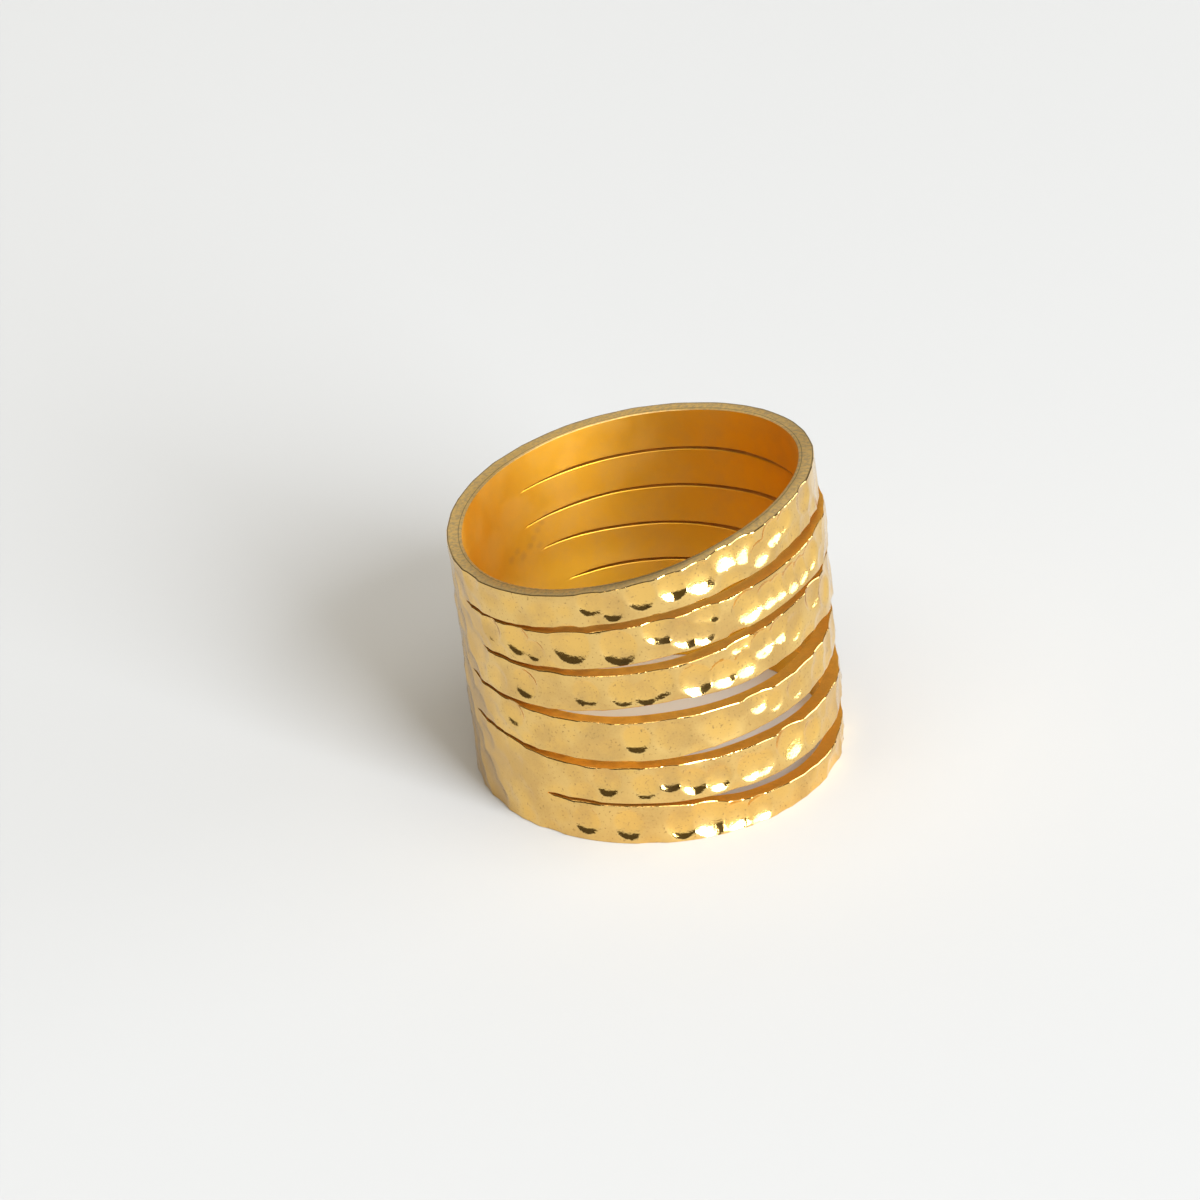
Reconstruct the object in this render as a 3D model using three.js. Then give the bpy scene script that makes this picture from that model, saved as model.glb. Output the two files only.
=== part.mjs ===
import * as THREE from 'three';

// A wide finger ring of hammered brass, standing on its lower rim. Five slits run most of the way
// round and part its wall into six bands. The bands spread apart at the front right, lie a hair's
// breadth apart at the back, and are one piece of metal at the left.
// Lengths are in millimetres and heights are above the floor. Angles are in degrees round the
// ring's axis, from +X towards +Y, so the front is at 270.

// Driving dimensions
const OUTER_RADIUS = 9.6;
const WALL = 0.73;
const BASE = { x: 0.34, y: -0.33 };
const LEAN = { x: -0.0385, y: 0.0478 };
const STATIONS = 120;
const ROWS_IN_BAND = 3;
const NARROWEST_GAP = 0.1;

// Sections of the ring, one every 30 degrees: the height of its upper rim, then the middle height
// and the width of each slit, from the lowest slit to the highest
const SECTIONS = [
  { at: 0, rim: 16.35, slits: [1.95, 5.1, 7.8, 10.95, 13.65], gaps: [1.45, 1.35, 0.85, 0.32, 0.36] },
  { at: 30, rim: 15.7, slits: [2.5, 5.55, 8.0, 10.8, 13.1], gaps: [0.75, 0.65, 0.4, 0.24, 0.26] },
  { at: 60, rim: 14.9, slits: [2.95, 5.8, 8.0, 10.35, 12.6], gaps: [0.25, 0.22, 0.18, 0.16, 0.18] },
  { at: 90, rim: 14.2, slits: [3.1, 5.75, 7.9, 10.0, 12.05], gaps: [0.12, 0.12, 0.12, 0.12, 0.12] },
  { at: 120, rim: 13.65, slits: [3.05, 5.5, 7.85, 9.6, 11.65], gaps: [0.1, 0.1, 0.1, 0.1, 0.1] },
  { at: 150, rim: 13.3, slits: [2.8, 5.1, 7.4, 9.2, 11.4], gaps: [0.1, 0.1, 0.1, 0.1, 0.1] },
  { at: 180, rim: 13.15, slits: [2.5, 4.8, 7.1, 9.2, 11.35], gaps: [0.1, 0.1, 0.1, 0.1, 0.1] },
  { at: 210, rim: 13.4, slits: [2.3, 4.8, 7.15, 9.45, 11.5], gaps: [0.1, 0.1, 0.12, 0.1, 0.1] },
  { at: 240, rim: 14.1, slits: [2.25, 4.55, 7.2, 9.75, 12.1], gaps: [0.1, 0.38, 0.52, 0.28, 0.28] },
  { at: 270, rim: 15.05, slits: [2.25, 4.65, 7.6, 10.3, 12.9], gaps: [0.14, 0.42, 0.98, 0.6, 0.4] },
  { at: 300, rim: 16.0, slits: [1.95, 4.9, 7.7, 10.85, 13.5], gaps: [0.8, 0.8, 1.02, 0.55, 0.54] },
  { at: 330, rim: 16.5, slits: [1.85, 5.0, 7.95, 11.3, 13.9], gaps: [1.22, 1.2, 1.26, 0.44, 0.54] },
];

// Where each slit starts at the left front and where it ends at the left back
const SLITS = [
  { from: 231, to: 114 },
  { from: 198, to: 114 },
  { from: 198, to: 123 },
  { from: 210, to: 129 },
  { from: 204, to: 129 },
];

// How far each band stands out of the round at the right, from the lowest band to the highest
const BAND_SPREAD = [-0.25, -0.05, -0.1, 0.1, 0.2, -0.05];
const SPREAD_REACH = 75;

// Hammer marks: shallow round hollows that overlap, scattered evenly by two irrational steps
const DENTS = { count: 520, radius: 1.15, variation: 0.3, depth: 0.07 };
const ANGLE_STEP = 0.7548776662;
const HEIGHT_STEP = 0.5698402910;
const DENT_SPAN = 16.6;

const radians = THREE.MathUtils.degToRad;

function fraction(value) {
  return value - Math.floor(value);
}

// A value at any angle, on a smooth closed curve through the values at the sections
function around(angle, read) {
  const place = fraction(angle / 360) * SECTIONS.length;
  const index = Math.floor(place);
  const [a, b, c, d] = [-1, 0, 1, 2].map(
    (step) => read(SECTIONS[(index + step + SECTIONS.length) % SECTIONS.length]),
  );
  const t = place - index;
  const bend = (2 * a - 5 * b + 4 * c - d) * t * t + (3 * b - a - 3 * c + d) * t * t * t;
  return b + 0.5 * ((c - a) * t + bend);
}

// Heights of the band edges at one angle, from the floor up: two for each band
function bandEdges(angle) {
  const edges = [0];
  SLITS.forEach((slit, index) => {
    const middle = around(angle, (section) => section.slits[index]);
    const gap = Math.max(NARROWEST_GAP, around(angle, (section) => section.gaps[index]));
    edges.push(middle - gap / 2, middle + gap / 2);
  });
  edges.push(around(angle, (section) => section.rim));
  return edges;
}

function bandOffset(angle, band) {
  const turn = THREE.MathUtils.euclideanModulo(angle + 180, 360) - 180;
  if (Math.abs(turn) >= SPREAD_REACH) return 0;
  return BAND_SPREAD[band] * Math.cos(radians((turn * 90) / SPREAD_REACH)) ** 2;
}

function makeDents() {
  return Array.from({ length: DENTS.count }, (_, index) => ({
    angle: 360 * fraction(index * ANGLE_STEP),
    height: DENT_SPAN * fraction(index * HEIGHT_STEP),
    radius: DENTS.radius * (1 + DENTS.variation * Math.sin(index)),
  }));
}

// Depth of the deepest hollow over a place on the outer wall
function dentDepth(dents, angle, height) {
  let deepest = 0;
  for (const dent of dents) {
    const turn = THREE.MathUtils.euclideanModulo(angle - dent.angle + 180, 360) - 180;
    const away = Math.hypot(radians(turn) * OUTER_RADIUS, height - dent.height) / dent.radius;
    deepest = Math.max(deepest, DENTS.depth * (1 - away * away));
  }
  return deepest;
}

// A point of the wall: the axis leans, so each height is shifted sideways
function wallPoint(angle, height, radius) {
  return [
    BASE.x + LEAN.x * height + radius * Math.cos(radians(angle)),
    BASE.y + LEAN.y * height + radius * Math.sin(radians(angle)),
    height,
  ];
}

function isOpen(slit, station) {
  const angle = (360 * (station + 0.5)) / STATIONS;
  return angle > SLITS[slit].from || angle < SLITS[slit].to;
}

function makeRing() {
  const bands = BAND_SPREAD.length;
  const dents = makeDents();
  const positions = [];
  const outer = [];
  const inner = [];

  const addPoint = (point) => positions.push(...point) / 3 - 1;
  for (let station = 0; station < STATIONS; station += 1) {
    const angle = (360 * station) / STATIONS;
    const edges = bandEdges(angle);
    outer.push([]);
    inner.push([]);
    for (let band = 0; band < bands; band += 1) {
      const low = edges[2 * band];
      const high = edges[2 * band + 1];
      const radius = OUTER_RADIUS + bandOffset(angle, band);
      for (let row = 0; row <= ROWS_IN_BAND; row += 1) {
        const height = THREE.MathUtils.lerp(low, high, row / ROWS_IN_BAND);
        const hammered = radius - dentDepth(dents, angle, height);
        outer[station].push(addPoint(wallPoint(angle, height, hammered)));
      }
      inner[station].push(addPoint(wallPoint(angle, low, radius - WALL)));
      inner[station].push(addPoint(wallPoint(angle, high, radius - WALL)));
    }
  }

  // A four-sided face whose corners are given counter-clockwise from outside the metal
  const faces = [];
  const addFace = (a, b, c, d) => faces.push(a, b, c, a, c, d);
  const levels = ROWS_IN_BAND + 1;
  for (let station = 0; station < STATIONS; station += 1) {
    const next = (station + 1) % STATIONS;
    const previous = (station + STATIONS - 1) % STATIONS;
    const [outA, outB, inA, inB] = [outer[station], outer[next], inner[station], inner[next]];
    for (let band = 0; band < bands; band += 1) {
      for (let level = band * levels; level < band * levels + ROWS_IN_BAND; level += 1) {
        addFace(outA[level], outB[level], outB[level + 1], outA[level + 1]);
      }
      addFace(inB[2 * band], inA[2 * band], inA[2 * band + 1], inB[2 * band + 1]);
    }
    addFace(inA[0], inB[0], outB[0], outA[0]);
    addFace(outA.at(-1), outB.at(-1), inB.at(-1), inA.at(-1));

    for (let slit = 0; slit < SLITS.length; slit += 1) {
      const under = slit * levels + ROWS_IN_BAND;
      const over = under + 1;
      const inUnder = 2 * slit + 1;
      const inOver = inUnder + 1;
      if (isOpen(slit, station)) {
        addFace(outA[under], outB[under], inB[inUnder], inA[inUnder]);
        addFace(inA[inOver], inB[inOver], outB[over], outA[over]);
      } else {
        addFace(outA[under], outB[under], outB[over], outA[over]);
        addFace(inB[inUnder], inA[inUnder], inA[inOver], inB[inOver]);
      }
      if (isOpen(slit, station) && !isOpen(slit, previous)) {
        addFace(outA[under], inA[inUnder], inA[inOver], outA[over]);
      }
      if (!isOpen(slit, station) && isOpen(slit, previous)) {
        addFace(inA[inUnder], outA[under], outA[over], inA[inOver]);
      }
    }
  }

  const geometry = new THREE.BufferGeometry();
  geometry.setAttribute('position', new THREE.Float32BufferAttribute(positions, 3));
  geometry.setIndex(faces);
  geometry.computeVertexNormals();
  return geometry;
}

const gold = new THREE.MeshStandardMaterial({ color: 0xe2b65c, metalness: 1, roughness: 0.22 });
const ring = new THREE.Mesh(makeRing(), gold);
ring.name = 'hammered_ring';

const group = new THREE.Group();
group.add(ring);

export default group;
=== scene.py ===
"""A wide hammered finger ring of gold-coloured metal, lying on its lower rim on a pale floor."""

import logging
import math
from collections.abc import Iterable
from dataclasses import dataclass, field
from enum import Enum
from typing import Any

import bmesh
import bpy
import numpy as np
from mathutils import Matrix, Vector


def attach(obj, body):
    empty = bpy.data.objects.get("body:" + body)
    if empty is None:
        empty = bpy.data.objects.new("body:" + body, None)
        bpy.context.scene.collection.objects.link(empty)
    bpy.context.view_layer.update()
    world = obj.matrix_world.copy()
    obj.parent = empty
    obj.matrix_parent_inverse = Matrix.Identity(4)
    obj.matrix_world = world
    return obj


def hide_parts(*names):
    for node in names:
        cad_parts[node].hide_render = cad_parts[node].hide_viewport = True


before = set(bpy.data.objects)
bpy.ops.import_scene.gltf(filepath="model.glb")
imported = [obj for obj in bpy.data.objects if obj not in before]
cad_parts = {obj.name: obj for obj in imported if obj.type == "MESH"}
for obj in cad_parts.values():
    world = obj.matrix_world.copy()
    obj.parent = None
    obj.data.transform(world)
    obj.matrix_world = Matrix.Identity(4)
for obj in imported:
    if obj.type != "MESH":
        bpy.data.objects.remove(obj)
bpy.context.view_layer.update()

logging.basicConfig(level=logging.INFO, format="%(message)s")
log = logging.getLogger("ring")

MM = 0.001
MICRON = 0.001 * MM

# Numbers that the mesh carries: how deep a place lies in a hammer mark, and how far it is from the
# outer face towards the inner one
HOLLOW = "hollow"
INWARD = "inward"

Colour = tuple[float, float, float]

# The dark colour of the dull specks, and of the painted dark reflections along the rims' edges
DARK_SPECK_AND_EDGE_SHADE: Colour = (0.16, 0.11, 0.05)
SOLDER: Colour = (0.5, 0.27, 0.09)

# Where each pattern on the metal starts to show, and where it shows in full: the dull patches, the
# painted reflection on the ridges, the spots of painted shade and the solder
PATCH_STEP = (0.35, 0.7)
RIDGE_STEP = (0.1, 0.85)
PAINTED_SHADE_STEP = (0.2, 1.0)
SOLDER_STEP = (0.2, 1.3)

# How soft the edge of a dull speck is, and how much of a painted dark edge stripe's reach is fully dark
SPECK_EDGE = 0.05
EDGE_SHADE_CORE = 0.3

# How strongly the specks and the solder colour the metal
SPECK_STRENGTH = 0.3
SOLDER_STRENGTH = 0.3

# How far the ripples or the fine grain break up the outline of each mark
RIDGE_BREAKUP = 0.5
WEAR_BREAKUP = 0.8
SOLDER_BREAKUP = 1.8
EDGE_SHADE_BREAKUP = 0.04

# How much the dull patches and the fine grain each add to the roughness, and what is taken off so
# that it stays between the smoothest and the roughest
PATCH_ROUGHNESS = 0.6
GRAIN_ROUGHNESS = 0.8
ROUGHNESS_OFFSET = 0.2

# The value that a noise pattern varies about
NOISE_MIDDLE = 0.5

# The places of a colour mix's factor, its two colours and its result among the node's sockets
MIX_FACTOR = 0
MIX_FIRST = 6
MIX_SECOND = 7
MIX_RESULT = 2


@dataclass(frozen=True)
class StainAndShadeSpot:
    """A round spot on the metal, with lengths in millimetres, for specks of solder and for spots of
    painted shade.

    Attributes:
        place: Its middle.
        reach: How far it spreads.
    """

    place: tuple[float, float, float]
    reach: float


class Number:
    """A number in a node tree, for shader maths written as Python expressions."""

    def __init__(self, nodes: "Nodes", socket: bpy.types.NodeSocket) -> None:
        """Wrap an output socket.

        Args:
            nodes: The tree that the socket belongs to.
            socket: The output socket to wrap.
        """
        self.nodes = nodes
        self.socket = socket

    def maths(self, operation: str, first: Any, second: Any) -> "Number":
        """Add a Math node.

        Args:
            operation: The node's operation.
            first: The first value or number.
            second: The second value or number.

        Returns:
            The node's result.
        """
        node = self.nodes.add("ShaderNodeMath", {"operation": operation}, {0: first, 1: second})
        return Number(self.nodes, node.outputs[0])

    def __add__(self, other: Any) -> "Number":
        """Add a value or number."""
        return self.maths("ADD", self, other)

    def __radd__(self, other: Any) -> "Number":
        """Add this number to a value."""
        return self.maths("ADD", other, self)

    def __sub__(self, other: Any) -> "Number":
        """Subtract a value or number."""
        return self.maths("SUBTRACT", self, other)

    def __rsub__(self, other: Any) -> "Number":
        """Subtract this number from a value."""
        return self.maths("SUBTRACT", other, self)

    def __mul__(self, other: Any) -> "Number":
        """Multiply by a value or number."""
        return self.maths("MULTIPLY", self, other)

    def __rmul__(self, other: Any) -> "Number":
        """Multiply a value by this number."""
        return self.maths("MULTIPLY", other, self)

    def clamped(self) -> "Number":
        """Keep the number between 0 and 1."""
        return self.maths("MAXIMUM", self.maths("MINIMUM", self, 1.0), 0.0)

    def away_from(self, value: float) -> "Number":
        """Give the distance from a value."""
        return self.maths("ABSOLUTE", self - value, 0.0)

    def at_most(self, other: Any) -> "Number":
        """Take the smaller of this number and another."""
        return self.maths("MINIMUM", self, other)


class Nodes:
    """The nodes of one material."""

    def __init__(self, tree: bpy.types.NodeTree) -> None:
        """Empty a node tree and take it over.

        Args:
            tree: The tree to fill.
        """
        tree.nodes.clear()
        self.tree = tree

    def add(
        self,
        kind: str,
        settings: dict[str, Any] | None = None,
        inputs: dict[str | int, Any] | None = None,
    ) -> bpy.types.Node:
        """Add a node, set it up and feed its sockets.

        Args:
            kind: The node's type.
            settings: Properties of the node.
            inputs: Values, numbers or output sockets by input name or index.

        Returns:
            The new node.
        """
        node = self.tree.nodes.new(kind)
        for name, value in (settings or {}).items():
            setattr(node, name, value)
        for name, value in (inputs or {}).items():
            if isinstance(value, Number):
                value = value.socket
            if isinstance(value, bpy.types.NodeSocket):
                self.tree.links.new(value, node.inputs[name])
            else:
                node.inputs[name].default_value = value
        return node

    def place(self) -> bpy.types.NodeSocket:
        """Return the place on the object, in metres."""
        return self.add("ShaderNodeTexCoord").outputs["Object"]

    def attribute(self, name: str) -> Number:
        """Read a number that the mesh carries."""
        node = self.add("ShaderNodeAttribute", {"attribute_name": name})
        return Number(self, node.outputs["Fac"])

    def distance(self, spot: StainAndShadeSpot) -> Number:
        """Measure the distance from a spot's middle.

        Args:
            spot: The spot.

        Returns:
            The distance as a share of the spot's reach.
        """
        middle = Vector(spot.place) * MM
        node = self.add("ShaderNodeVectorMath", {"operation": "DISTANCE"}, {0: self.place(), 1: middle})
        return Number(self, node.outputs["Value"]) * (1.0 / (spot.reach * MM))

    def noise(self, size: float, detail: float) -> Number:
        """Add a noise pattern.

        Args:
            size: The size of its grains in millimetres.
            detail: How many finer layers it has.

        Returns:
            A number that varies about NOISE_MIDDLE.
        """
        node = self.add(
            "ShaderNodeTexNoise",
            inputs={"Vector": self.place(), "Scale": 1.0 / (size * MM), "Detail": detail},
        )
        return Number(self, node.outputs[0])

    def between(self, low: float, high: float, number: Number) -> Number:
        """Turn a number into a soft step.

        Args:
            low: Where the step starts, at 0.
            high: Where it ends, at 1.
            number: The number to read.

        Returns:
            The step, from 0 to 1.
        """
        node = self.add(
            "ShaderNodeMapRange",
            {"interpolation_type": "SMOOTHSTEP"},
            {"Value": number, "From Min": low, "From Max": high},
        )
        return Number(self, node.outputs[0])

    def mix(self, factor: Any, first: Any, second: Any) -> bpy.types.NodeSocket:
        """Mix two colours.

        Args:
            factor: The share of the second colour.
            first: A colour or a colour socket.
            second: A colour or a colour socket.

        Returns:
            The mixed colour's socket.
        """
        first, second = ((*c, 1.0) if isinstance(c, tuple) else c for c in (first, second))
        node = self.add(
            "ShaderNodeMix",
            {"data_type": "RGBA"},
            {MIX_FACTOR: factor, MIX_FIRST: first, MIX_SECOND: second},
        )
        return node.outputs[MIX_RESULT]

    def bump(self, height: Number) -> bpy.types.NodeSocket:
        """Turn a height pattern into a normal.

        Args:
            height: The height of each place, in micrometres.

        Returns:
            The normal's socket.
        """
        node = self.add(
            "ShaderNodeBump",
            inputs={"Height": height, "Distance": MICRON, "Strength": 1.0},
        )
        return node.outputs[0]

    def output(self, shader: bpy.types.Node) -> None:
        """Feed a shader to the material's output."""
        self.add("ShaderNodeOutputMaterial", inputs={"Surface": shader.outputs[0]})


@dataclass(frozen=True)
class EdgeShadeLine:
    """A dark stripe along the metal's edge: a painted dark reflection.

    Attributes:
        place: Its place across the wall, from 0 at the outer face to 1 at the inner one.
        reach: How far it reaches to each side, as a share of the wall.
        strength: How dark it is, from 0 to 1.
    """

    place: float
    reach: float
    strength: float


@dataclass(frozen=True)
class MetalFinish:
    """A finish of gold-coloured metal, with lengths in millimetres.

    Attributes:
        name: The material's name.
        colour: The metal's colour; on the inner face and the slits' faces it is darker and deeper orange
            than on the outer face, as painted shade.
        worn_and_shaded_colour: Its colour where the finish has dulled, and in its spots of painted
            shade.
        roughness: The smoothest and the roughest places.
        patch_size: The size of the dull patches.
        grain_size: The size of the fine surface grain.
        grain_height: How deep that grain is, in micrometres.
        ripple_size: The size of the gentle ripples left by the tool.
        ripple_height: How deep those ripples are, in micrometres.
        speck_share: How much of the surface has small dull specks, from 0 to 1.
        ridge_reflection_colour: Its colour on the ridges between hammer marks, if it has such marks; the
            change from it to the deeper orange of the hollows is a painted reflection.
        painted_shade_spots: Spots where the metal is painted darker, as painted shade that stands in for
            the shadow on the floor which it mirrors.
        edge_shade_lines: The painted dark reflections that run along its edges.
    """

    name: str
    colour: Colour
    worn_and_shaded_colour: Colour
    roughness: tuple[float, float]
    patch_size: float
    grain_size: float
    grain_height: float
    ripple_size: float
    ripple_height: float
    speck_share: float = 0.0
    ridge_reflection_colour: Colour | None = None
    painted_shade_spots: tuple[StainAndShadeSpot, ...] = ()
    edge_shade_lines: tuple[EdgeShadeLine, ...] = ()

    def material(self, solder: list[StainAndShadeSpot]) -> bpy.types.Material:
        """Build the material.

        Args:
            solder: The specks of solder that lie on the metal.

        Returns:
            A metal material with patches, grain, ripples and solder.
        """
        material = bpy.data.materials.new(self.name)
        material.use_nodes = True
        nodes = Nodes(material.node_tree)
        patches = nodes.between(*PATCH_STEP, nodes.noise(self.patch_size, detail=4.0))
        grain = nodes.noise(self.grain_size, detail=3.0)
        ripples = nodes.noise(self.ripple_size, detail=1.0)
        unevenness = grain - NOISE_MIDDLE
        speck_start = 1.0 - self.speck_share
        specks = nodes.between(speck_start, speck_start + SPECK_EDGE, grain)
        wear_and_shade = patches + specks + WEAR_BREAKUP * unevenness
        # Spots of painted shade: the metal is made darker, like the shadowed floor that it mirrors
        for spot in self.painted_shade_spots:
            wear_and_shade = wear_and_shade + (1.0 - nodes.between(*PAINTED_SHADE_STEP, nodes.distance(spot)))
        colour = nodes.mix(wear_and_shade.clamped(), self._clean_colour(nodes, ripples), self.worn_and_shaded_colour)
        colour = nodes.mix(SPECK_STRENGTH * specks, colour, DARK_SPECK_AND_EDGE_SHADE)
        if solder:
            colour = self._add_solder(nodes, colour, unevenness, solder)
        # Painted dark reflections along the edges, in the dark specks' colour
        for shade_line in self.edge_shade_lines:
            away = nodes.attribute(INWARD).away_from(shade_line.place) + EDGE_SHADE_BREAKUP * unevenness
            dark = shade_line.strength * (1.0 - nodes.between(EDGE_SHADE_CORE * shade_line.reach, shade_line.reach, away))
            colour = nodes.mix(dark, colour, DARK_SPECK_AND_EDGE_SHADE)
        low, high = self.roughness
        dullness = PATCH_ROUGHNESS * patches + GRAIN_ROUGHNESS * grain - ROUGHNESS_OFFSET
        shader = nodes.add(
            "ShaderNodeBsdfPrincipled",
            inputs={
                "Metallic": 1.0,
                "Base Color": colour,
                "Roughness": low + (high - low) * dullness,
                "Normal": nodes.bump(grain * self.grain_height + ripples * self.ripple_height),
            },
        )
        nodes.output(shader)
        return material

    def _clean_colour(self, nodes: Nodes, ripples: Number) -> Colour | bpy.types.NodeSocket:
        """Give the colour of the metal where it hasn't dulled.

        Args:
            nodes: The material's nodes.
            ripples: The pattern of the gentle ripples.

        Returns:
            A colour, or the socket of one that changes from the hammer marks to the ridges, as a painted
            reflection.
        """
        if self.ridge_reflection_colour is None:
            return self.colour
        # Painted reflection: deeper orange in the hammer marks' hollows, paler on the ridges between
        # them
        hollow = nodes.attribute(HOLLOW) + RIDGE_BREAKUP * (ripples - NOISE_MIDDLE)
        return nodes.mix(nodes.between(*RIDGE_STEP, hollow), self.ridge_reflection_colour, self.colour)

    def _add_solder(
        self, nodes: Nodes, colour: Any, unevenness: Number, solder: list[StainAndShadeSpot]
    ) -> bpy.types.NodeSocket:
        """Lay the solder's colour over the metal's.

        Args:
            nodes: The material's nodes.
            colour: The metal's colour.
            unevenness: The fine grain, around 0.
            solder: The specks of solder.

        Returns:
            The mixed colour's socket.
        """
        nearest = nodes.distance(solder[0])
        for spot in solder[1:]:
            nearest = nearest.at_most(nodes.distance(spot))
        drop = 1.0 - nodes.between(*SOLDER_STEP, nearest + SOLDER_BREAKUP * unevenness)
        return nodes.mix(SOLDER_STRENGTH * drop, colour, SOLDER)


class GoldFinish(Enum):
    """The finishes that the ring's faces have."""

    HAMMERED = MetalFinish(
        name="polished_gold",
        colour=(0.91, 0.575, 0.16),
        worn_and_shaded_colour=(0.71, 0.455, 0.155),
        roughness=(0.06, 0.15),
        patch_size=2.0,
        grain_size=0.13,
        grain_height=9.0,
        ripple_size=0.6,
        ripple_height=20.0,
        speck_share=0.37,
        # Paler ridges and deeper orange hollows: a painted reflection
        ridge_reflection_colour=(0.86, 0.58, 0.2),
        # Spots of painted shade on the left, where the metal mirrors the shadow on the floor
        painted_shade_spots=(StainAndShadeSpot((-9.2, -1.7, 2.5), 6.5), StainAndShadeSpot((-9.3, -1.7, 9.0), 4.5)),
    )
    # Darker and deeper orange than the outer face: painted shade and painted interreflection inside the
    # ring
    SATIN = MetalFinish(
        name="satin_gold",
        colour=(0.81, 0.46, 0.042),
        worn_and_shaded_colour=(0.75, 0.43, 0.065),
        roughness=(0.44, 0.56),
        patch_size=1.8,
        grain_size=0.08,
        grain_height=4.0,
        ripple_size=0.9,
        ripple_height=5.0,
    )
    # Darker still: painted shade inside the slits
    SAWN = MetalFinish(
        name="sawn_gold",
        colour=(0.74, 0.39, 0.055),
        worn_and_shaded_colour=(0.6, 0.31, 0.05),
        roughness=(0.5, 0.65),
        patch_size=0.9,
        grain_size=0.09,
        grain_height=7.0,
        ripple_size=0.3,
        ripple_height=8.0,
    )
    FILED = MetalFinish(
        name="filed_gold",
        colour=(0.88, 0.6, 0.21),
        worn_and_shaded_colour=(0.62, 0.44, 0.21),
        roughness=(0.3, 0.46),
        patch_size=0.22,
        grain_size=0.07,
        grain_height=6.0,
        ripple_size=0.4,
        ripple_height=6.0,
        # Painted dark reflections along the rims' outer and inner edges
        edge_shade_lines=(EdgeShadeLine(0.0, 0.11, 0.85), EdgeShadeLine(0.83, 0.05, 0.6)),
    )


@dataclass(frozen=True)
class Section:
    """The ring's heights at one angle, in millimetres.

    Attributes:
        rim: The height of the upper rim.
        slits: The middle height of each slit, from the lowest.
        gaps: The width of each slit.
    """

    rim: float
    slits: tuple[float, ...]
    gaps: tuple[float, ...]


@dataclass(frozen=True)
class Slit:
    """One slit, with angles in degrees.

    Attributes:
        start: Where it starts at the left front.
        end: Where it ends at the left back.
        taper: How far it takes from that end to open to its full width.
        groove: How far the saw's groove runs on inside past that end.
    """

    start: float
    end: float
    taper: float = 3.0
    groove: float = 1.5


@dataclass(frozen=True)
class Dent:
    """One hammer mark, with lengths in millimetres.

    Attributes:
        angle: The angle of its middle round the ring, in degrees.
        height: The height of its middle above the floor.
        radius: Its radius.
        depth: Its depth.
        scoop: How much deeper it is towards its top, from 0 to 1.
        flatness: How flat its floor is. A value of 2 gives a dish.
    """

    angle: float
    height: float
    radius: float
    depth: float
    scoop: float = 0.0
    flatness: float = 3.4


@dataclass(frozen=True)
class EdgeWave:
    """One of the waves that a hand-cut edge is made of.

    Attributes:
        count: How many times it rises and falls round the ring.
        shift: How far it moves on from one edge to the next, in radians.
        strength: Its height, as a share of the first wave's.
    """

    count: int
    shift: float
    strength: float


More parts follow.
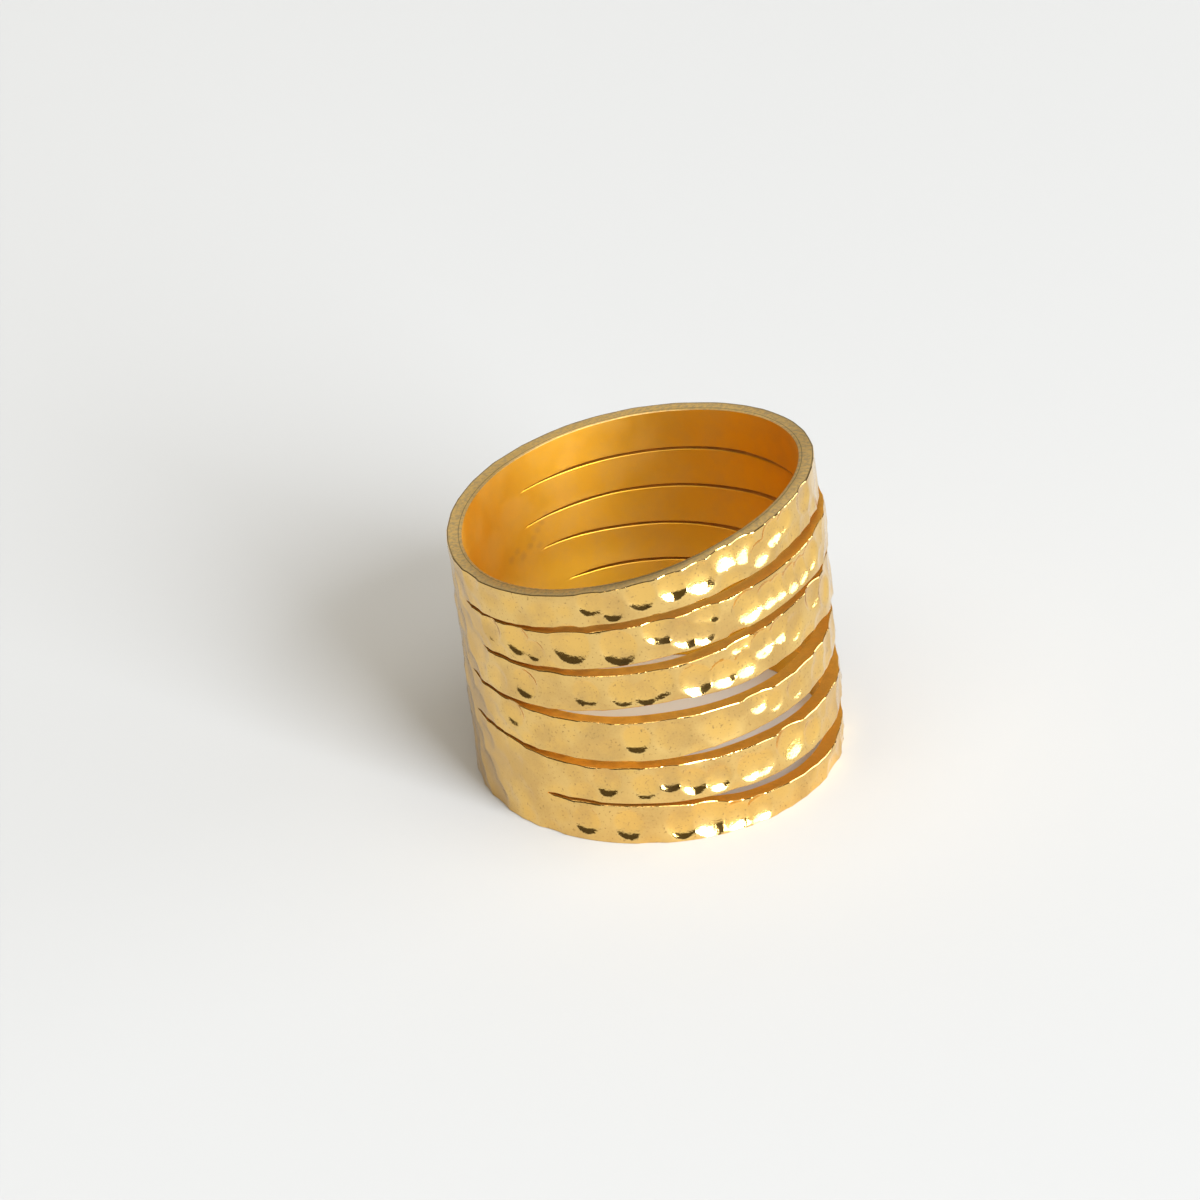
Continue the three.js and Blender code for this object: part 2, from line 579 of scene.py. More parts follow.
@dataclass
class RingForm:
    """The ring's shape, in millimetres and in degrees round its axis from +X towards +Y.

    Attributes:
        outer_radius: The radius of the outer face before it is hammered.
        wall: The wall's thickness.
        base: Where the axis meets the floor.
        lean: How far the axis moves sideways for each millimetre of height.
        narrowest_gap: The least width of a slit.
        start_taper: How far each slit takes from its start to open to its full width.
        end_width: The width of a slit at its ends, as a share of its full width.
        edge_wave: How uneven the cut edges are.
        edge_waves: The waves that make them uneven.
        slit_wave: How far the middle of a slit wanders, as a share of the edges' unevenness.
        rim_wave: How uneven the upper rim is, as a share of the edges' unevenness.
        uneven_gap: The width from which a slit's edges are fully uneven.
        least_unevenness: The unevenness of the narrowest slits, as a share of the full one.
        first_edge_pattern: The number of the pattern that the lowest slit's lower edge follows.
        rim_pattern: The number of the pattern that the upper rim follows.
        spread_reach: How far to each side of the right the bands still stand out.
        band_spread: How far each band stands out at the right, from the lowest.
        slits: The slits, from the lowest.
        sections: The ring's heights every 30 degrees, from the right.
    """

    outer_radius: float = 9.6
    wall: float = 0.73
    base: tuple[float, float] = (0.34, -0.33)
    lean: tuple[float, float] = (-0.0385, 0.0478)
    narrowest_gap: float = 0.15
    start_taper: float = 3.0
    end_width: float = 0.3
    edge_wave: float = 0.02
    edge_waves: tuple[EdgeWave, ...] = (
        EdgeWave(7, 2.1, 1.0),
        EdgeWave(13, 3.7, 0.8),
        EdgeWave(29, 5.3, 0.4),
    )
    slit_wave: float = 0.6
    rim_wave: float = 0.7
    uneven_gap: float = 0.3
    least_unevenness: float = 0.25
    first_edge_pattern: int = 7
    rim_pattern: int = 31
    spread_reach: float = 75.0
    band_spread: tuple[float, ...] = (-0.18, 0.02, -0.03, 0.1, 0.2, -0.05)
    slits: tuple[Slit, ...] = (
        Slit(231, 114),
        Slit(198, 114, taper=6.0),
        Slit(198, 123, taper=16.0),
        Slit(209, 129, taper=22.0),
        Slit(201, 129, taper=20.0),
    )
    sections: tuple[Section, ...] = (
        Section(16.35, (1.95, 5.1, 7.8, 10.95, 13.65), (1.45, 1.35, 0.85, 0.32, 0.36)),
        Section(15.7, (2.5, 5.55, 8.0, 10.8, 13.1), (0.75, 0.65, 0.4, 0.24, 0.26)),
        Section(14.9, (2.95, 5.8, 8.0, 10.35, 12.6), (0.25, 0.22, 0.18, 0.16, 0.18)),
        Section(14.2, (3.1, 5.75, 7.9, 10.0, 12.05), (0.12, 0.12, 0.12, 0.12, 0.12)),
        Section(13.65, (3.05, 5.5, 7.85, 9.6, 11.65), (0.1, 0.1, 0.1, 0.1, 0.1)),
        Section(13.3, (2.8, 5.1, 7.4, 9.2, 11.4), (0.1, 0.1, 0.1, 0.1, 0.1)),
        Section(13.15, (2.5, 4.8, 7.1, 9.2, 11.35), (0.1, 0.1, 0.1, 0.1, 0.1)),
        Section(13.4, (2.3, 4.8, 7.15, 9.45, 11.5), (0.1, 0.1, 0.12, 0.1, 0.1)),
        Section(14.1, (2.25, 4.55, 7.2, 9.75, 12.1), (0.1, 0.38, 0.52, 0.28, 0.28)),
        Section(15.05, (2.25, 4.65, 7.6, 10.3, 12.9), (0.14, 0.42, 0.98, 0.6, 0.4)),
        Section(16.0, (1.95, 4.9, 7.7, 10.85, 13.5), (0.8, 0.8, 1.02, 0.55, 0.54)),
        Section(16.5, (1.85, 5.0, 7.95, 11.3, 13.9), (1.22, 1.2, 1.26, 0.44, 0.54)),
    )

    def around(self, angles: np.ndarray, values: list[float]) -> np.ndarray:
        """Read a smooth closed curve through the sections' values.

        Args:
            angles: The angles to read it at.
            values: One value for each section.

        Returns:
            The curve's value at each angle.
        """
        known = np.array(values)
        place = np.mod(angles / 360.0, 1.0) * len(known)
        index = np.floor(place).astype(int)
        a, b, c, d = (known[(index + step) % len(known)] for step in (-1, 0, 1, 2))
        t = place - index
        bend = (2 * a - 5 * b + 4 * c - d) * t**2 + (3 * b - a - 3 * c + d) * t**3
        return b + 0.5 * ((c - a) * t + bend)

    def is_open(self, slit: int, angles: np.ndarray) -> np.ndarray:
        """Say where a slit is cut through.

        Args:
            slit: The slit's index, from the lowest.
            angles: The angles to test.

        Returns:
            True where the slit is open.
        """
        return (angles > self.slits[slit].start) | (angles < self.slits[slit].end)

    def openness(self, slit: int, angles: np.ndarray) -> np.ndarray:
        """Say how far a slit has opened, which takes a few degrees from its end.

        Args:
            slit: The slit's index, from the lowest.
            angles: The angles to read.

        Returns:
            A share from 0, where the slit is closed, to 1.
        """
        from_start = np.mod(angles - self.slits[slit].start, 360.0)
        from_end = np.mod(self.slits[slit].end - angles, 360.0)
        share = np.minimum(from_start / self.start_taper, from_end / self.slits[slit].taper)
        return np.where(self.is_open(slit, angles), np.clip(share, 0.0, 1.0), 0.0)

    def groove(self, slit: int, angles: np.ndarray) -> np.ndarray:
        """Say where a slit shows inside, which a groove does past the slit's end.

        Args:
            slit: The slit's index, from the lowest.
            angles: The angles to read.

        Returns:
            1 where the slit or its groove is, and 0 elsewhere.
        """
        past_end = np.mod(angles - self.slits[slit].end, 360.0)
        runs_on = past_end < self.slits[slit].groove
        return np.where(self.is_open(slit, angles) | runs_on, 1.0, 0.0)

    def waves(self, angles: np.ndarray, edge: int) -> np.ndarray:
        """Give the slow unevenness of a hand-cut edge.

        Args:
            angles: The angles round the ring.
            edge: The edge's number, which sets its pattern.

        Returns:
            The sideways shift at each angle.
        """
        turns = np.radians(angles)
        pattern = sum(
            wave.strength * np.sin(wave.count * turns + wave.shift * edge)
            for wave in self.edge_waves
        )
        return self.edge_wave * pattern / sum(wave.strength for wave in self.edge_waves)

    def edges(self, angles: np.ndarray) -> np.ndarray:
        """Give the heights of the band edges.

        Args:
            angles: The angles round the ring.

        Returns:
            One row for each angle, with two heights for each band, from the floor up.
        """
        columns = [np.zeros_like(angles)]
        for index in range(len(self.slits)):
            middle = self.around(angles, [section.slits[index] for section in self.sections])
            gap = self.around(angles, [section.gaps[index] for section in self.sections])
            gap = np.maximum(gap, self.narrowest_gap)
            taper = self.end_width + (1.0 - self.end_width) * self.openness(index, angles)
            unevenness = np.clip(gap / self.uneven_gap, self.least_unevenness, 1.0)
            middle = middle + self.slit_wave * self.waves(angles, index)
            lower = 2 * index + self.first_edge_pattern
            columns.append(middle - taper * gap / 2 + unevenness * self.waves(angles, lower))
            columns.append(middle + taper * gap / 2 + unevenness * self.waves(angles, lower + 1))
        rim = self.around(angles, [section.rim for section in self.sections])
        columns.append(rim + self.rim_wave * self.waves(angles, self.rim_pattern))
        return np.stack(columns, axis=1)

    def spread(self, angles: np.ndarray, band: int) -> np.ndarray:
        """Give how far a band stands out of the round at the right.

        Args:
            angles: The angles round the ring.
            band: The band's index, from the lowest.

        Returns:
            The shift along the radius at each angle.
        """
        turn = np.mod(angles + 180.0, 360.0) - 180.0
        fade = np.cos(np.radians(np.clip(turn * 90.0 / self.spread_reach, -90.0, 90.0))) ** 2
        return self.band_spread[band] * fade

    def points(self, angles: np.ndarray, heights: np.ndarray, radii: np.ndarray) -> np.ndarray:
        """Place points of the leaning wall.

        Args:
            angles: The angles round the ring.
            heights: The heights above the floor.
            radii: The distances from the axis.

        Returns:
            The points in metres, one row each.
        """
        turns = np.radians(angles)
        x = self.base[0] + self.lean[0] * heights + radii * np.cos(turns)
        y = self.base[1] + self.lean[1] * heights + radii * np.sin(turns)
        return np.stack([x, y, heights], axis=-1) * MM


@dataclass
class HammerMarks:
    """The hammer marks on the ring's outer face.

    Attributes:
        charted: The marks that show best, band by band from the top.
        tries: How many further marks are tried at random places.
        reach: The share of a further mark's radius that stays clear of other marks.
        charted_reach: The share of a charted mark's radius that stays clear of further marks.
        radii: The smallest and largest radius of a further mark.
        steepness: The least and greatest depth of a further mark, as a share of its radius.
        flatness: How flat the floors of the further marks are.
        raised: How far the metal between the marks stands out.
        full_hollow: The depth at which a mark has its full colour, the deeper orange of its painted
            reflection.
        overhang: How far past the rims the middle of a further mark may lie.
        rim_reach: How far below the upper rim the further marks get shallower.
        rim_depth: The depth of the further marks at that rim, as a share of their full depth.
        seed: The seed of the random places.
    """

    charted: tuple[Dent, ...] = (
        Dent(207, 13.3, 0.8, 0.11),
        Dent(254.6, 14.05, 0.84, 0.15),
        Dent(261, 13.75, 0.77, 0.15),
        Dent(270.2, 14.45, 0.92, 0.135),
        Dent(280, 14.7, 0.86, 0.22, 0.1),
        Dent(289, 14.85, 1.0, 0.28, 0.3),
        Dent(297.3, 15.6, 0.95, 0.3, 0.4),
        Dent(304.4, 15.6, 0.95, 0.3, 0.4),
        Dent(310.5, 14.85, 0.8, 0.26, 0.35),
        Dent(316.8, 15.6, 0.8, 0.23),
        Dent(323, 15.7, 0.75, 0.17),
        Dent(336, 15.85, 0.85, 0.15),
        Dent(215.5, 10.9, 0.8, 0.16),
        Dent(227, 11.0, 0.94, 0.2),
        Dent(233.6, 10.67, 0.67, 0.15),
        Dent(246.3, 11.55, 1.2, 0.225),
        Dent(261.5, 11.5, 1.07, 0.2),
        Dent(274.5, 12.35, 0.94, 0.2),
        Dent(282, 11.85, 0.87, 0.2),
        Dent(287.8, 11.75, 0.75, 0.17),
        Dent(289, 12.75, 0.9, 0.19),
        Dent(303.8, 12.35, 1.0, 0.27, 0.2),
        Dent(311.5, 12.45, 0.85, 0.24, 0.3),
        Dent(316.2, 12.5, 0.85, 0.24, 0.3),
        Dent(322.4, 12.5, 0.9, 0.28, 0.3),
        Dent(327.6, 12.5, 0.88, 0.28, 0.3),
        Dent(334, 12.75, 0.9, 0.21),
        Dent(215.5, 8.1, 0.85, 0.08),
        Dent(228, 8.5, 0.9, 0.21),
        Dent(249.5, 8.72, 0.85, 0.165),
        Dent(261, 8.86, 0.86, 0.13),
        Dent(268, 8.85, 0.78, 0.13),
        Dent(272, 9.3, 0.95, 0.13),
        Dent(283.6, 9.15, 0.97, 0.24, 0.1),
        Dent(292.5, 9.1, 0.85, 0.24, 0.2),
        Dent(300, 9.2, 0.82, 0.24, 0.3),
        Dent(299.5, 10.6, 0.85, 0.2),
        Dent(307.2, 9.95, 0.83, 0.24),
        Dent(314.7, 10.15, 0.78, 0.22),
        Dent(321, 9.75, 0.82, 0.16),
        Dent(333.6, 10.6, 0.92, 0.21),
        Dent(342.5, 9.95, 0.87, 0.18),
        Dent(221.5, 6.38, 0.8, 0.18),
        Dent(263.3, 6.15, 0.85, 0.155),
        Dent(274, 6.2, 1.1, 0.09),
        Dent(290, 6.3, 1.3, 0.09),
        Dent(303.3, 6.98, 0.88, 0.21, 0.15),
        Dent(309.5, 6.45, 0.65, 0.12),
        Dent(318.7, 6.45, 0.72, 0.14),
        Dent(252.4, 3.57, 0.84, 0.18),
        Dent(264.2, 3.4, 0.82, 0.12),
        Dent(271.8, 3.75, 0.8, 0.17),
        Dent(279, 3.42, 0.8, 0.2),
        Dent(287, 3.3, 0.8, 0.2, 0.1),
        Dent(297.6, 3.35, 0.87, 0.2, 0.15),
        Dent(302.3, 3.3, 0.8, 0.18, 0.15),
        Dent(314, 3.75, 1.13, 0.34, 0.35),
        Dent(324, 3.4, 0.82, 0.15),
        Dent(244.3, 1.15, 0.83, 0.18),
        Dent(257.8, 1.15, 0.92, 0.17),
        Dent(273.8, 1.02, 0.9, 0.16),
        Dent(283, 1.15, 1.2, 0.32, 0.3),
        Dent(291, 0.8, 0.95, 0.27, 0.3),
        Dent(299, 0.75, 0.9, 0.27, 0.3),
    )
    tries: int = 8000
    reach: float = 0.6
    charted_reach: float = 1.08
    radii: tuple[float, float] = (0.6, 1.2)
    steepness: tuple[float, float] = (0.08, 0.14)
    flatness: float = 2.4
    raised: float = 0.07
    full_hollow: float = 0.13
    overhang: float = 0.2
    rim_reach: float = 0.7
    rim_depth: float = 0.3
    seed: int = 7

    def further_dents(self, form: RingForm) -> list[Dent]:
        """Add marks at random places until the wall is covered.

        Args:
            form: The ring's shape.

        Returns:
            The further marks.
        """
        random = np.random.default_rng(self.seed)
        dents = []
        arc = math.radians(form.outer_radius)
        top = max(section.rim for section in form.sections)
        taken = np.array(
            [(arc * dent.angle, dent.height, self.charted_reach * dent.radius) for dent in self.charted]
        )
        for _ in range(self.tries):
            angle = random.uniform(0.0, 360.0)
            height = random.uniform(-self.overhang, top + self.overhang)
            radius = random.uniform(*self.radii)
            across = np.abs(taken[:, 0] - arc * angle)
            across = np.minimum(across, 360.0 * arc - across)
            room = np.hypot(across, taken[:, 1] - height) - taken[:, 2] - self.reach * radius
            if room.min() < 0.0:
                continue
            depth = radius * random.uniform(*self.steepness)
            dents.append(Dent(angle, height, radius, depth, flatness=self.flatness))
            taken = np.vstack([taken, (arc * angle, height, self.reach * radius)])
        return dents

    def depth(self, form: RingForm, angles: np.ndarray, heights: np.ndarray) -> np.ndarray:
        """Give the depth of the hammered face.

        Args:
            form: The ring's shape.
            angles: The angles round the ring.
            heights: The heights above the floor.

        Returns:
            The depth below the unhammered face at each place.
        """
        rim = form.around(angles, [section.rim for section in form.sections])
        fade = np.clip((rim - heights) / self.rim_reach, self.rim_depth, 1.0)
        further = fade * self._deepest(form, self.further_dents(form), angles, heights)
        return np.maximum(further, self._deepest(form, self.charted, angles, heights))

    def _deepest(
        self,
        form: RingForm,
        dents: Iterable[Dent],
        angles: np.ndarray,
        heights: np.ndarray,
    ) -> np.ndarray:
        """Give the depth of the deepest of some marks.

        Args:
            form: The ring's shape.
            dents: The marks.
            angles: The angles round the ring.
            heights: The heights above the floor.

        Returns:
            The depth at each place.
        """
        deepest = np.zeros_like(heights)
        for dent in dents:
            turn = np.mod(angles - dent.angle + 180.0, 360.0) - 180.0
            across = np.radians(turn) * form.outer_radius
            up = (heights - dent.height) / dent.radius
            away = np.hypot(across / dent.radius, up)
            flatness = dent.flatness * (1.0 - dent.scoop)
            dish = dent.depth * (1.0 - away**flatness) * (1.0 + dent.scoop * up)
            deepest = np.maximum(deepest, np.where(away < 1.0, dish, 0.0))
        return deepest


@dataclass(frozen=True)
class SolderSpeck:
    """A speck of solder on the inner face.

    Attributes:
        angle: Its angle round the ring, in degrees.
        height: Its height above the floor, in millimetres.
        reach: How far it spreads, in millimetres.
    """

    angle: float
    height: float
    reach: float


@dataclass(frozen=True)
class WallGrid:
    """The place of each vertex of the outer face in the wall's grid.

    Attributes:
        columns: The column of each vertex, counted round the ring.
        levels: The level of each vertex, counted from the floor up.
    """

    columns: np.ndarray
    levels: np.ndarray


def read_vectors(items: bpy.types.bpy_prop_collection, name: str) -> np.ndarray:
    """Read a vector of every vertex or face of a mesh.

    Args:
        items: The vertices or the faces.
        name: The vector's name.

    Returns:
        One row for each vertex or face.
    """
    values = np.empty(len(items) * 3)
    items.foreach_get(name, values)
    return values.reshape(-1, 3)


def start_editing(thing: bpy.types.Object, kind: str) -> bmesh.types.BMesh:
    """Open an object's mesh for editing, with nothing selected.

    Args:
        thing: The object to edit.
        kind: What is selected next: EDGE or FACE.

    Returns:
        The open mesh.
    """
    bpy.ops.object.mode_set(mode="EDIT")
    bpy.ops.mesh.select_mode(type=kind)
    bpy.ops.mesh.select_all(action="DESELECT")
    return bmesh.from_edit_mesh(thing.data)


@dataclass
class HammeredRing:
    """The ring: one piece of metal, modelled as a tube whose wall is slit into six bands.

    Attributes:
        form: The ring's shape.
        marks: The hammer marks on its outer face.
        stations: How many columns of faces go round the ring.
        plain_rows: How many rows of faces a band has between its edge rows.
        row_groups: How many even groups all the wall's rows make.
        edge_rows: The distances of the rows next to a band's edge, in millimetres.
        edge_drops: How far the outer face falls away at the edge and at each edge row.
        inner_chamfer: The size of the chamfer on the rims' inner edges.
        slit_chamfer: The size of the chamfer on the slits' inner edges.
        rim_slack: How far above the floor the middle of a lower rim's face may lie.
        outer_facing: How far outwards a face points, from 0 to 1, if it is polished.
        inner_facing: How far outwards a face points, below 0, if it is satin.
        crease: The angle between two faces, in degrees, past which their edge stays sharp.
        solder: The specks of solder on the inner face.
    """

    form: RingForm = field(default_factory=RingForm)
    marks: HammerMarks = field(default_factory=HammerMarks)
    stations: int = 540
    plain_rows: int = 16
    row_groups: int = 5
    edge_rows: tuple[float, ...] = (0.03, 0.075)
    edge_drops: tuple[float, ...] = (0.03, 0.005, 0.0)
    inner_chamfer: float = 0.05
    slit_chamfer: float = 0.022
    rim_slack: float = 0.05
    outer_facing: float = 0.55
    inner_facing: float = -0.7
    crease: float = 32.0
    solder: tuple[SolderSpeck, ...] = (
        SolderSpeck(121.5, 9.65, 0.2),
        SolderSpeck(123.5, 9.35, 0.22),
        SolderSpeck(125.5, 9.0, 0.24),
        SolderSpeck(127.5, 8.65, 0.24),
        SolderSpeck(129.5, 8.3, 0.26),
        SolderSpeck(135.5, 8.4, 0.26),
        SolderSpeck(138.5, 8.15, 0.28),
        SolderSpeck(133.0, 7.95, 0.3),
        SolderSpeck(125.5, 8.1, 0.22),
    )

    @property
    def rows(self) -> int:
        """The number of rows of faces in one band."""
        return self.plain_rows + 2 * len(self.edge_rows)

    @property
    def levels(self) -> int:
        """The number of rings of vertices in the wall."""
        return len(self.form.band_spread) * (self.rows + 1)

    def build(self) -> bpy.types.Object:
        """Model the ring.

        Returns:
            The finished ring, dressed.
        """
        ring = self._tube()
        grid = self._grid(ring)
        inner_points = self._shape_wall(ring, grid)
        self._cut_slits(ring, grid)
        self._thicken(ring, inner_points)
        self._thin_inner_rows(ring, grid)
        self.dress(ring)
        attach(ring, "root")
        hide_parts("hammered_ring")
        return ring

    def _tube(self) -> bpy.types.Object:
        """Add an open tube with a row of faces for each row of the wall.

        Returns:
            The tube, with its rows a whole unit apart, so that a height is a level's number.
        """
        bpy.ops.object.select_all(action="DESELECT")
        bpy.ops.mesh.primitive_cylinder_add(
            vertices=self.stations,
            radius=self.form.outer_radius * MM,
            depth=self.levels - 1,
            end_fill_type="NOTHING",
            location=(0, 0, 0),
        )
        tube = bpy.context.object
        tube.name = tube.data.name = "gold_ring"
        for parts in (self.row_groups, (self.levels - 1) // self.row_groups):
            self._split_upright_edges(tube, parts)
        return tube

    def _split_upright_edges(self, tube: bpy.types.Object, parts: int) -> None:
        """Split every upright edge of the plain tube.

        Args:
            tube: The plain tube.
            parts: How many even parts each edge is split into.
        """
        for edge in start_editing(tube, "EDGE").edges:
            low, high = (vert.co.z for vert in edge.verts)
            edge.select_set(low != high)
        bmesh.update_edit_mesh(tube.data)
        bpy.ops.mesh.subdivide(number_cuts=parts - 1)
        bpy.ops.object.mode_set(mode="OBJECT")

    def _grid(self, tube: bpy.types.Object) -> WallGrid:
        """Find each vertex's column and level.

        Args:
            tube: The tube, before it is shaped.

        Returns:
            The place of each vertex.
        """
        places = read_vectors(tube.data.vertices, "co")
        turns = np.degrees(np.arctan2(places[:, 1], places[:, 0])) / 360.0
        columns = np.rint(turns * self.stations).astype(int) % self.stations
        levels = np.rint(places[:, 2] + (self.levels - 1) / 2).astype(int)
        return WallGrid(columns, levels)

    def _level_heights(self, angles: np.ndarray) -> np.ndarray:
        """Give the height of every level at every column.

        Args:
            angles: The columns' angles.

        Returns:
            One row for each column.
        """
        edges = self.form.edges(angles)
        reach = self.edge_rows[-1]
        heights = []
        for band in range(len(self.form.band_spread)):
            low, high = edges[:, 2 * band], edges[:, 2 * band + 1]
            heights.append(low)
            heights.extend(low + row for row in self.edge_rows)
            for row in range(1, self.plain_rows):
                share = row / self.plain_rows
                heights.append(low + reach + (high - low - 2 * reach) * share)
            heights.extend(high - row for row in reversed(self.edge_rows))
            heights.append(high)
        return np.stack(heights, axis=1)

    def _edge_shapes(self, angles: np.ndarray) -> tuple[np.ndarray, np.ndarray]:
        """Give the rounding and the chamfers of the bands' edges.

        Args:
            angles: The columns' angles.

        Returns:
            How far the outer face falls away, and how far the inner face stands back, with one
            row for each column and one value for each level.
        """
        drop = np.zeros((len(angles), self.levels))
        inset = np.zeros_like(drop)
        inset[:, [0, -1]] = self.inner_chamfer
        for row, edge_drop in enumerate(self.edge_drops):
            drop[:, [row, -1 - row]] = edge_drop
        for slit in range(len(self.form.slits)):
            under = slit * (self.rows + 1) + self.rows
            over = under + 1
            openness = self.form.openness(slit, angles)[:, None]
            for row, edge_drop in enumerate(self.edge_drops):
                drop[:, [under - row, over + row]] = edge_drop * openness
            inset[:, [under, over]] = self.slit_chamfer * self.form.groove(slit, angles)[:, None]
        return drop, inset

    def _shape_wall(self, ring: bpy.types.Object, grid: WallGrid) -> np.ndarray:
        """Move the tube's vertices to the leaning, hammered outer face.

        Args:
            ring: The tube.
            grid: The place of each vertex.

        Returns:
            The point of the inner face behind each vertex, in metres.
        """
        places = grid.columns, grid.levels
        angles = 360.0 * np.arange(self.stations) / self.stations
        heights = self._level_heights(angles)
        wide = np.broadcast_to(angles[:, None], heights.shape)
        drop, inset = self._edge_shapes(angles)
        bands = range(len(self.form.band_spread))
        spread = np.stack([self.form.spread(angles, band) for band in bands], axis=1)
        middle = self.form.outer_radius + np.repeat(spread, self.rows + 1, axis=1)
        depth = self.marks.depth(self.form, wide, heights)
        outer = middle - drop + self.marks.raised - depth
        inner = middle - self.form.wall + inset
        outer_points = self.form.points(wide, heights, outer)[places]
        ring.data.vertices.foreach_set("co", outer_points.ravel())
        hollow = np.clip(depth / self.marks.full_hollow, 0.0, 1.0)[places]
        ring.data.attributes.new(HOLLOW, "FLOAT", "POINT").data.foreach_set("value", hollow)
        ring.data.update()
        return self.form.points(wide, heights, inner)[places]

    def _cut_slits(self, ring: bpy.types.Object, grid: WallGrid) -> None:
        """Delete the faces where the slits are cut through.

        Args:
            ring: The ring's outer face.
            grid: The place of each vertex.
        """
        step = 360.0 / self.stations
        for face in start_editing(ring, "FACE").faces:
            corners = [vert.index for vert in face.verts]
            slit, row = divmod(int(grid.levels[corners].min()), self.rows + 1)
            if row != self.rows or slit >= len(self.form.slits):
                continue
            # A face that closes the circle starts at the last column and ends at column 0
            columns = grid.columns[corners]
            first = columns.min() if np.ptp(columns) == 1 else columns.max()
            if self.form.is_open(slit, (first + 0.5) * step):
                face.select_set(True)
        bmesh.update_edit_mesh(ring.data)
        bpy.ops.mesh.delete(type="ONLY_FACE")
        bpy.ops.object.mode_set(mode="OBJECT")

    def _thicken(self, ring: bpy.types.Object, inner_points: np.ndarray) -> None:
        """Give the wall its thickness, with a round and even inner face.

        Args:
            ring: The ring's outer face.
            inner_points: The point of the inner face behind each of its vertices.
        """
        solidify = ring.modifiers.new("wall", "SOLIDIFY")
        solidify.thickness = self.form.wall * MM
        solidify.offset = -1.0
        bpy.ops.object.modifier_apply(modifier=solidify.name)
        places = read_vectors(ring.data.vertices, "co")
        places[len(inner_points):] = inner_points
        ring.data.vertices.foreach_set("co", places.ravel())
        inward = np.zeros(len(places))
        inward[len(inner_points):] = 1.0
        ring.data.attributes.new(INWARD, "FLOAT", "POINT").data.foreach_set("value", inward)
        ring.data.update()

    def _thin_inner_rows(self, ring: bpy.types.Object, grid: WallGrid) -> None:
        """Dissolve the inner face's rows between the band edges.

        Args:
            ring: The thickened ring.
            grid: The place of each vertex of its outer face.
        """
        count = len(grid.levels)
        rows = grid.levels % (self.rows + 1)
        margin = len(self.edge_rows)
        plain = (rows > margin) & (rows < self.rows - margin)
        for edge in start_editing(ring, "EDGE").edges:
            a, b = (vert.index - count for vert in edge.verts)
            if min(a, b) >= 0 and grid.levels[a] == grid.levels[b] and plain[a]:
                edge.select_set(True)
        bmesh.update_edit_mesh(ring.data)
        bpy.ops.mesh.dissolve_edges(use_verts=True)
        bpy.ops.object.mode_set(mode="OBJECT")

    def dress(self, ring: bpy.types.Object) -> None:
        """Smooth the faces and give each its finish.

        Args:
            ring: The finished mesh.
        """
        for finish in GoldFinish:
            solder = self._solder_stains() if finish is GoldFinish.SATIN else []
            ring.data.materials.append(finish.value.material(solder))
        ring.data.polygons.foreach_set("material_index", self._face_finishes(ring))
        bpy.ops.object.shade_smooth_by_angle(angle=math.radians(self.crease))

    def _solder_stains(self) -> list[StainAndShadeSpot]:
        """Place the specks of solder on the inner face.

        Returns:
            A stain for each speck.
        """
        angles = np.array([speck.angle for speck in self.solder])
        heights = np.array([speck.height for speck in self.solder])
        radii = np.full(len(self.solder), self.form.outer_radius - self.form.wall)
        places = self.form.points(angles, heights, radii) / MM
        return [StainAndShadeSpot(tuple(place), speck.reach) for place, speck in zip(places, self.solder)]

    def _face_finishes(self, ring: bpy.types.Object) -> np.ndarray:
        """Choose the finish of each face by its place and by the way it points.

        Args:
            ring: The finished mesh.

        Returns:
            The number of each face's finish.
        """
        normals = read_vectors(ring.data.polygons, "normal")
        centres = read_vectors(ring.data.polygons, "center") / MM
        axis = np.array(self.form.base) + np.outer(centres[:, 2], self.form.lean)
        outward = centres[:, :2] - axis
        outward /= np.linalg.norm(outward, axis=1)[:, None]
        facing = (normals[:, :2] * outward).sum(axis=1)
        turns = np.degrees(np.arctan2(outward[:, 1], outward[:, 0]))
        rim = self.form.around(turns, [section.rim for section in self.form.sections])
        at_rim = (centres[:, 2] > rim - self.inner_chamfer) | (centres[:, 2] < self.rim_slack)
        order = list(GoldFinish)
        finishes = np.full(len(normals), order.index(GoldFinish.SAWN), dtype=np.int32)
        finishes[at_rim] = order.index(GoldFinish.FILED)
        finishes[facing > self.outer_facing] = order.index(GoldFinish.HAMMERED)
        finishes[facing < self.inner_facing] = order.index(GoldFinish.SATIN)
        return finishes


@dataclass(frozen=True)
class Softbox:
    """A soft light, aimed at the ring.

    Attributes:
        name: The light's name.
        azimuth: Its direction from the ring, in degrees from +X towards +Y.
        elevation: Its height over the floor, in degrees.
        distance: Its distance in metres.
        width: Its width in metres.
        height: Its height in metres.
        brightness: The brightness of its face.
        colour: Its colour.
    """

    name: str
    azimuth: float
    elevation: float
    distance: float
    width: float
    height: float
    brightness: float
    colour: Colour = (1.0, 1.0, 1.0)

    def build(self, target: Vector) -> bpy.types.Object:
        """Add the light.

        Args:
            target: The place that it faces.

        Returns:
            The light's object.
        """
        data = bpy.data.lights.new(self.name, "AREA")
        data.shape = "RECTANGLE"
        data.size = self.width
        data.size_y = self.height
        data.energy = math.pi * self.width * self.height * self.brightness
        data.color = self.colour
        light = bpy.data.objects.new(self.name, data)
        turn, rise = math.radians(self.azimuth), math.radians(self.elevation)
        away = Vector((math.cos(rise) * math.cos(turn), math.cos(rise) * math.sin(turn), math.sin(rise)))
        light.location = target + self.distance * away
        light.rotation_euler = away.to_track_quat("Z", "Y").to_euler()
        bpy.context.scene.collection.objects.link(light)
        return light


